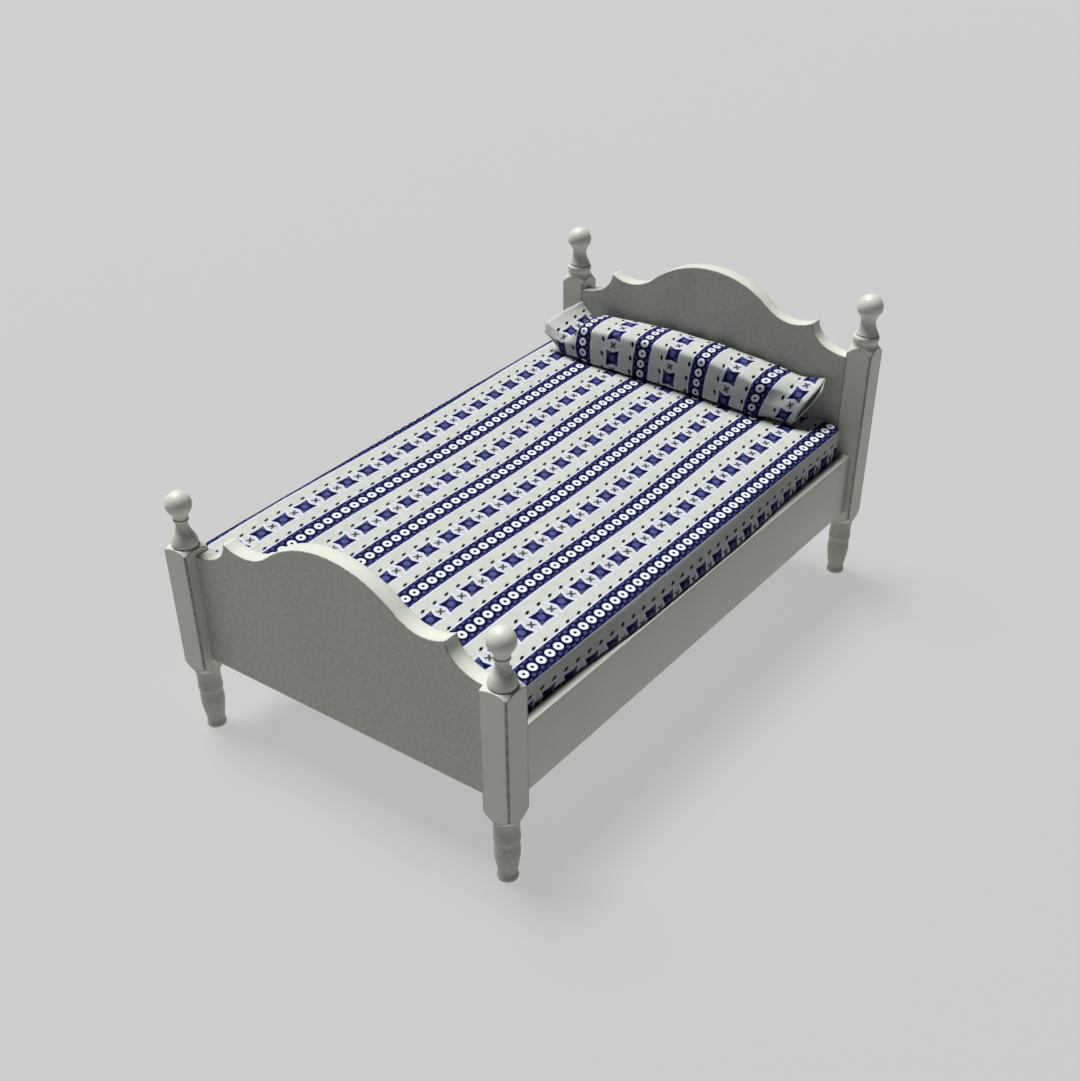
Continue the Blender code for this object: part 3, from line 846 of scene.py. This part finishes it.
def node_material(name):
    material = bpy.data.materials.new(name)
    material.use_nodes = True
    tree = material.node_tree
    return material, tree, tree.nodes["Principled BSDF"]


def link(tree, source, target):
    tree.links.new(source, target)


def noise_node(tree, vector, scale, detail=3.0, roughness=0.5):
    node = tree.nodes.new("ShaderNodeTexNoise")
    node.inputs["Scale"].default_value = scale
    node.inputs["Detail"].default_value = detail
    node.inputs["Roughness"].default_value = roughness
    link(tree, vector, node.inputs["Vector"])
    return node.outputs["Fac"]


def ramp(tree, value, stops):
    node = tree.nodes.new("ShaderNodeValToRGB")
    elements = node.color_ramp.elements
    while len(elements) < len(stops):
        elements.new(0.5)
    for element, (place, colour) in zip(elements, stops):
        element.position = place
        element.color = (*colour, 1.0)
    link(tree, value, node.inputs["Fac"])
    return node.outputs["Color"]


def mix_colour(tree, factor, a, b):
    """A colour mix has sockets of every type under the same names, so the colour ones are taken by place."""
    node = tree.nodes.new("ShaderNodeMix")
    node.data_type = "RGBA"
    link(tree, factor, node.inputs[0])
    for place, value in ((6, a), (7, b)):
        if isinstance(value, tuple):
            node.inputs[place].default_value = (*value, 1.0)
        else:
            link(tree, value, node.inputs[place])
    return node.outputs[2]


def maths(tree, operation, a, b=0.0, c=0.0, clamp=False):
    node = tree.nodes.new("ShaderNodeMath")
    node.operation = operation
    node.use_clamp = clamp
    for socket, value in zip(node.inputs, (a, b, c)):
        if isinstance(value, (float, int)):
            socket.default_value = value
        else:
            link(tree, value, socket)
    return node.outputs[0]


def bump(tree, shader, height, strength, distance):
    node = tree.nodes.new("ShaderNodeBump")
    node.inputs["Strength"].default_value = strength
    node.inputs["Distance"].default_value = distance
    link(tree, height, node.inputs["Height"])
    link(tree, node.outputs["Normal"], shader.inputs["Normal"])


def object_place(tree):
    return tree.nodes.new("ShaderNodeTexCoord").outputs["Object"]


# Colours of the paint: fresh, soiled, and the dark painted shade along its edges and on its legs
PAINT = (0.625, 0.645, 0.57)
PAINT_SHADE = (0.585, 0.605, 0.53)
PAINTED_EDGE_SHADE = (0.14, 0.135, 0.11)


def painted_wood():
    """Satin off-white paint: brushed unevenness, faint soiling, and patchy painted shade along edges and on
    the legs.
    """
    material, tree, shader = node_material("satin_white_paint")
    place = object_place(tree)
    soiling = noise_node(tree, place, 60.0, 4.0, 0.6)
    base = ramp(tree, soiling, ((0.30, PAINT_SHADE), (0.65, PAINT)))
    # Painted shade: the stored amount, broken up by noise, darkens the paint towards the edge shade colour
    painted_shade = tree.nodes.new("ShaderNodeAttribute")
    painted_shade.attribute_name = "painted_shade"
    shade_breakup = noise_node(tree, place, 900.0, 3.0, 0.65)
    patchy = maths(tree, "MULTIPLY", painted_shade.outputs["Fac"], maths(tree, "MULTIPLY", shade_breakup, 1.7))
    amount = maths(tree, "MULTIPLY", patchy, 0.85, clamp=True)
    colour = mix_colour(tree, amount, base, PAINTED_EDGE_SHADE)
    link(tree, colour, shader.inputs["Base Color"])
    shader.inputs["Specular IOR Level"].default_value = 0.35
    gloss = noise_node(tree, place, 240.0, 2.0)
    link(tree, maths(tree, "MULTIPLY_ADD", gloss, 0.22, 0.28), shader.inputs["Roughness"])
    strokes = tree.nodes.new("ShaderNodeMapping")
    strokes.inputs["Scale"].default_value = (1.0, 1.0, 0.35)
    link(tree, place, strokes.inputs["Vector"])
    bump(tree, shader, noise_node(tree, strokes.outputs["Vector"], 700.0, 4.0, 0.55), 0.05, 0.00012)
    return material


def bare_wood():
    """Sanded pale wood with its grain along the piece."""
    material, tree, shader = node_material("bare_wood")
    place = object_place(tree)
    stretch = tree.nodes.new("ShaderNodeMapping")
    stretch.inputs["Scale"].default_value = (1.0, 7.0, 7.0)
    link(tree, place, stretch.inputs["Vector"])
    grain = noise_node(tree, stretch.outputs["Vector"], 160.0, 6.0, 0.62)
    colour = ramp(tree, grain, ((0.3, (0.50, 0.36, 0.21)), (0.7, (0.70, 0.56, 0.37))))
    link(tree, colour, shader.inputs["Base Color"])
    link(tree, maths(tree, "MULTIPLY_ADD", grain, 0.2, 0.55), shader.inputs["Roughness"])
    bump(tree, shader, grain, 0.4, 0.0001)
    return material


# Colours of the print
GROUND = (0.490, 0.510, 0.480)
GROUND_SHADE = (0.390, 0.410, 0.375)
HALO = (0.55, 0.57, 0.68)
NAVY = (0.0025, 0.0040, 0.032)
FLOWER_NAVY = (0.0045, 0.0060, 0.042)
BLUE = (0.070, 0.078, 0.230)
PETAL = (0.050, 0.060, 0.135)
RING_WHITE = (0.61, 0.65, 0.74)
INK = (0.003, 0.004, 0.008)
CROSS = (0.040, 0.045, 0.080)


def below(tree, value, edge, softness):
    """One where the value is under the edge, nought over it, with a soft step between."""
    slope = -1.0 / softness
    return maths(tree, "MULTIPLY_ADD", value, slope, edge / softness + 0.5, clamp=True)


def wrapped(tree, value, period, start=0.0):
    """The distance from the nearest of the places start, start + period, and so on."""
    moved = maths(tree, "SUBTRACT", value, start)
    return maths(tree, "WRAP", moved, period / 2, -period / 2)


def oval(tree, a, half_a, b, half_b):
    """One on the edge of an oval, less inside it."""
    a = maths(tree, "MULTIPLY", a, 1.0 / half_a)
    b = maths(tree, "MULTIPLY", b, 1.0 / half_b)
    total = maths(tree, "MULTIPLY_ADD", a, a, maths(tree, "MULTIPLY", b, b))
    return maths(tree, "SQRT", total)


def both(tree, a, b):
    """Where two shapes overlap."""
    return maths(tree, "MULTIPLY", a, b)


def either(tree, a, b):
    """Where at least one of two shapes lies."""
    return maths(tree, "MAXIMUM", a, b)


def size_of(tree, value):
    return maths(tree, "ABSOLUTE", value)


def ground_colour(tree, u, v):
    """Cream white cotton with the faint slanting lines of its weave."""
    slanted = maths(tree, "MULTIPLY_ADD", v, 0.45, u)
    lines = maths(tree, "MULTIPLY_ADD", maths(tree, "SINE", maths(tree, "MULTIPLY", slanted, 13.0)), 0.5, 0.5)
    cloudy = noise_node(tree, object_place(tree), 420.0, 4.0, 0.6)
    mixed = maths(tree, "MULTIPLY_ADD", lines, 0.25, maths(tree, "MULTIPLY", cloudy, 0.8))
    return ramp(tree, mixed, ((0.25, GROUND_SHADE), (0.62, GROUND)))


def add_dashes(tree, colour, u, v):
    """Rows of small dark slanting dashes on both sides of the flowers."""
    along = wrapped(tree, v, DASH_PERIOD)
    for row in DASH_ROWS:
        across = maths(tree, "MULTIPLY_ADD", along, 0.2, wrapped(tree, u, BAND_PERIOD, row))
        shape = below(tree, oval(tree, across, DASH_HALF_WIDTH, along, DASH_HALF_LENGTH), 1.0, 0.45)
        colour = mix_colour(tree, shape, colour, INK)
    return colour


def add_flowers(tree, colour, u, v, flower_v, stagger):
    """Navy flowers with a blue middle and two bluer petals, and a small cross between each two."""
    across = wrapped(tree, u, BAND_PERIOD, FLOWER_U)
    columns_on = maths(tree, "MULTIPLY_ADD", u, 1 / BAND_PERIOD, 0.5 - FLOWER_U / BAND_PERIOD)
    odd = maths(tree, "FLOORED_MODULO", maths(tree, "FLOOR", columns_on), 2.0)
    v = maths(tree, "MULTIPLY_ADD", odd, -stagger, v)
    along = wrapped(tree, v, FLOWER_PERIOD, flower_v)
    wide, tall = size_of(tree, across), size_of(tree, along)
    notch = maths(tree, "MULTIPLY_ADD", wide, 0.36, FLOWER_HALF_LENGTH)
    past_notch = maths(tree, "SUBTRACT", tall, notch)
    waist = maths(tree, "MULTIPLY_ADD", tall, 0.10, FLOWER_HALF_WIDTH)
    past_side = maths(tree, "SUBTRACT", wide, waist)
    halo = both(tree, below(tree, past_notch, 0.7, 0.5), below(tree, past_side, 0.4, 0.4))
    colour = mix_colour(tree, halo, colour, HALO)
    inside = both(tree, below(tree, past_notch, 0.0, 0.3), below(tree, past_side, 0.0, 0.3))
    from_middle = oval(tree, across, FLOWER_MIDDLE_RADIUS, along, FLOWER_MIDDLE_RADIUS)
    middle = below(tree, from_middle, 1.0, 0.7)
    petals = below(tree, both(tree, across, along), -1.1, 1.2)
    flower = mix_colour(tree, petals, FLOWER_NAVY, PETAL)
    flower = mix_colour(tree, middle, flower, BLUE)
    colour = mix_colour(tree, inside, colour, flower)
    between = wrapped(tree, v, FLOWER_PERIOD, flower_v + FLOWER_PERIOD / 2)
    arms = size_of(tree, maths(tree, "SUBTRACT", wide, size_of(tree, between)))
    cross = both(tree, below(tree, arms, 0.42, 0.35), below(tree, wide, 0.8, 0.3))
    return mix_colour(tree, cross, colour, CROSS)


def add_bands(tree, colour, u, v):
    """Navy bands with a row of white rings, mottled with blue and edged with a pale line."""
    across = wrapped(tree, u, BAND_PERIOD)
    wide = size_of(tree, across)
    colour = mix_colour(tree, below(tree, wide, BAND_HALF + 0.38, 0.2), colour, HALO)
    at_ring = wrapped(tree, v, RING_PERIOD)
    between = wrapped(tree, v, RING_PERIOD, RING_PERIOD / 2)
    from_spot = maths(tree, "SUBTRACT", wide, SPOT_U)
    spot = below(tree, oval(tree, from_spot, 0.48, between, 0.52), 1.0, 0.7)
    from_leaf = maths(tree, "SUBTRACT", wide, LEAF_U)
    leaf = below(tree, oval(tree, from_leaf, 0.30, at_ring, 0.7), 1.0, 0.8)
    mottle = noise_node(tree, object_place(tree), 700.0, 3.0, 0.6)
    blue = both(tree, either(tree, spot, leaf), maths(tree, "MULTIPLY_ADD", mottle, 0.9, 0.3, clamp=True))
    band = mix_colour(tree, blue, NAVY, BLUE)
    ring = oval(tree, across, RING_HALF_WIDTH, at_ring, RING_HALF_LENGTH)
    band = mix_colour(tree, below(tree, ring, 1.22, 0.15), band, INK)
    band = mix_colour(tree, below(tree, ring, 1.0, 0.15), band, RING_WHITE)
    band = mix_colour(tree, below(tree, ring, 0.33, 0.15), band, INK)
    return mix_colour(tree, below(tree, wide, BAND_HALF, 0.15), colour, band)


def printed_cotton(name, flower_v, stagger):
    """Cotton with its print worked out from the cloth's flat coordinates.

    flower_v is where the flowers start, and every second column of them lies stagger further on.
    """
    material, tree, shader = node_material(name)
    flat = tree.nodes.new("ShaderNodeUVMap")
    flat.uv_map = "flat"
    split = tree.nodes.new("ShaderNodeSeparateXYZ")
    link(tree, flat.outputs["UV"], split.inputs["Vector"])
    u, v = split.outputs["X"], split.outputs["Y"]
    colour = ground_colour(tree, u, v)
    colour = add_dashes(tree, colour, u, v)
    colour = add_flowers(tree, colour, u, v, flower_v, stagger)
    colour = add_bands(tree, colour, u, v)
    link(tree, colour, shader.inputs["Base Color"])
    shader.inputs["Roughness"].default_value = 0.85
    shader.inputs["Specular IOR Level"].default_value = 0.04
    weave = noise_node(tree, object_place(tree), 1500.0, 2.0, 0.6)
    bump(tree, shader, weave, 0.3, 0.00008)
    return material


def plain_soft(name, dark, light, scale):
    """Foam or wadding: matt, with an uneven, open surface."""
    material, tree, shader = node_material(name)
    tone = noise_node(tree, object_place(tree), scale, 4.0, 0.65)
    link(tree, ramp(tree, tone, ((0.3, dark), (0.7, light))), shader.inputs["Base Color"])
    shader.inputs["Roughness"].default_value = 0.95
    bump(tree, shader, tone, 0.5, 0.0002)
    return material


# Stage


def make_camera():
    """The camera at its measured place, looking down at the bed from its right foot corner."""
    azimuth, elevation, roll = (math.radians(a) for a in (CAMERA_AZIMUTH, CAMERA_ELEVATION, CAMERA_ROLL))
    level = math.cos(elevation)
    back = Vector((math.sin(azimuth) * level, -math.cos(azimuth) * level, math.sin(elevation)))
    right = Vector((0, 0, 1)).cross(back).normalized()
    up = back.cross(right)
    rolled_right = math.cos(roll) * right + math.sin(roll) * up
    rolled_up = -math.sin(roll) * right + math.cos(roll) * up
    data = bpy.data.cameras.new("camera")
    data.lens = CAMERA_LENS
    data.sensor_width = 36.0
    data.shift_y = CAMERA_SHIFT_Y
    data.clip_start = 0.01
    data.clip_end = 100.0
    camera = bpy.data.objects.new("camera", data)
    bpy.context.scene.collection.objects.link(camera)
    turn = Matrix((rolled_right, rolled_up, back)).transposed().to_4x4()
    camera.matrix_world = Matrix.Translation(Vector(CAMERA_PLACE) * MM) @ turn
    bpy.context.scene.camera = camera


def make_lights():
    """One broad light high on the left, and a faint sky. The glowing floor lights the sides in view most."""
    data = bpy.data.lights.new("overhead", "SUN")
    data.energy = SUN_STRENGTH
    data.angle = math.radians(SUN_SPREAD)
    light = bpy.data.objects.new("overhead", data)
    light.rotation_euler = (math.radians(-SUN_FROM_BACK), math.radians(-SUN_FROM_LEFT), 0.0)
    bpy.context.scene.collection.objects.link(light)
    world = bpy.data.worlds.new("studio")
    world.use_nodes = True
    sky = world.node_tree.nodes["Background"]
    sky.inputs["Color"].default_value = (0.9, 0.95, 1.0, 1.0)
    sky.inputs["Strength"].default_value = SKY_STRENGTH
    bpy.context.scene.world = world
    bpy.context.scene.view_settings.view_transform = "Standard"


def make_floor():
    """A plain pale floor that glows faintly and still takes the bed's soft shadow."""
    steps = np.linspace(-FLOOR_REACH, FLOOR_REACH, 9)
    points = [(x, y, -FLOOR_DROP) for x in steps for y in steps]
    index = np.arange(len(points)).reshape(len(steps), len(steps))
    floor = new_object("floor", points, grid_quads(index).tolist())
    material, tree, shader = node_material("floor")
    tone = noise_node(tree, object_place(tree), 2.0, 2.0)
    darker, lighter = FLOOR_TONES
    link(tree, ramp(tree, tone, ((0.0, (darker,) * 3), (1.0, (lighter,) * 3))), shader.inputs["Base Color"])
    shader.inputs["Roughness"].default_value = 0.95
    shader.inputs["Emission Color"].default_value = (1.0, 1.0, 1.0, 1.0)
    shader.inputs["Emission Strength"].default_value = FLOOR_GLOW
    floor.data.materials.append(material)


def make_backdrop():
    """A pale dome beyond the floor, so that low views end in the floor's own tone. It lights nothing."""
    turn = np.radians(np.arange(0, 360, 6))
    rings = []
    for height in np.radians(np.linspace(0, 88, 14)):
        level = BACKDROP_RADIUS * math.cos(height)
        ring = [(level * math.cos(a), level * math.sin(a), BACKDROP_RADIUS * math.sin(height)) for a in turn]
        rings.append(ring)
    dome = loft("backdrop", np.array(rings), close_ends=False)
    material, tree, shader = node_material("backdrop")
    shader.inputs["Base Color"].default_value = (0.0, 0.0, 0.0, 1.0)
    shader.inputs["Specular IOR Level"].default_value = 0.0
    shader.inputs["Emission Color"].default_value = (1.0, 1.0, 1.0, 1.0)
    shader.inputs["Emission Strength"].default_value = BACKDROP_TONE
    dome.data.materials.append(material)
    dome.visible_diffuse = False
    dome.visible_glossy = False
    dome.visible_shadow = False


# Building

post_box_low, post_box_high = low("post_foot_right"), high("post_foot_right")
post_half = (post_box_high[0] - post_box_low[0]) / 2
post_x = (post_box_high[0] + post_box_low[0]) / 2
post_y = -(post_box_high[1] + post_box_low[1]) / 2

make_camera()
make_lights()
make_floor()
make_backdrop()

paint = painted_wood()
wood = bare_wood()
for node in ("post_foot_left", "post_foot_right", "post_head_left", "post_head_right"):
    finish_piece(make_post(node, "head" in node), "bed_frame", "paint", paint, node)
for node in ("footboard", "headboard"):
    finish_piece(make_board(node), "bed_frame", "paint", paint, node)
for node in ("side_rail_left", "side_rail_right"):
    finish_piece(make_rail(node), "bed_frame", "paint", paint, node)
for node in ("ledger_left", "ledger_right", *(f"slat_{i}" for i in range(1, 8))):
    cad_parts[node].data.materials.clear()
    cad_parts[node].data.materials.append(wood)

mattress_cotton = printed_cotton("mattress_cotton", MATTRESS_FLOWER_V, MATTRESS_STAGGER)
pillow_cotton = printed_cotton("pillow_cotton", PILLOW_FLOWER_V, 0.0)
cover, pad = make_mattress()
finish_piece(cover, "mattress", "printed_cotton", mattress_cotton, "mattress_cover")
foam = plain_soft("foam", (0.70, 0.63, 0.45), (0.84, 0.78, 0.60), 900.0)
finish_piece(pad, "mattress", "foam", foam, "mattress_core")
case, wadding, threads = make_case(), make_stuffing(), make_threads()
finish_piece(case, "pillow", "printed_cotton", pillow_cotton, "pillow_case")
stuffing = plain_soft("stuffing", (0.72, 0.72, 0.70), (0.86, 0.86, 0.84), 700.0)
finish_piece(wadding, "pillow", "stuffing", stuffing, "pillow_filling")
finish_piece(threads, "pillow", "stuffing", stuffing)
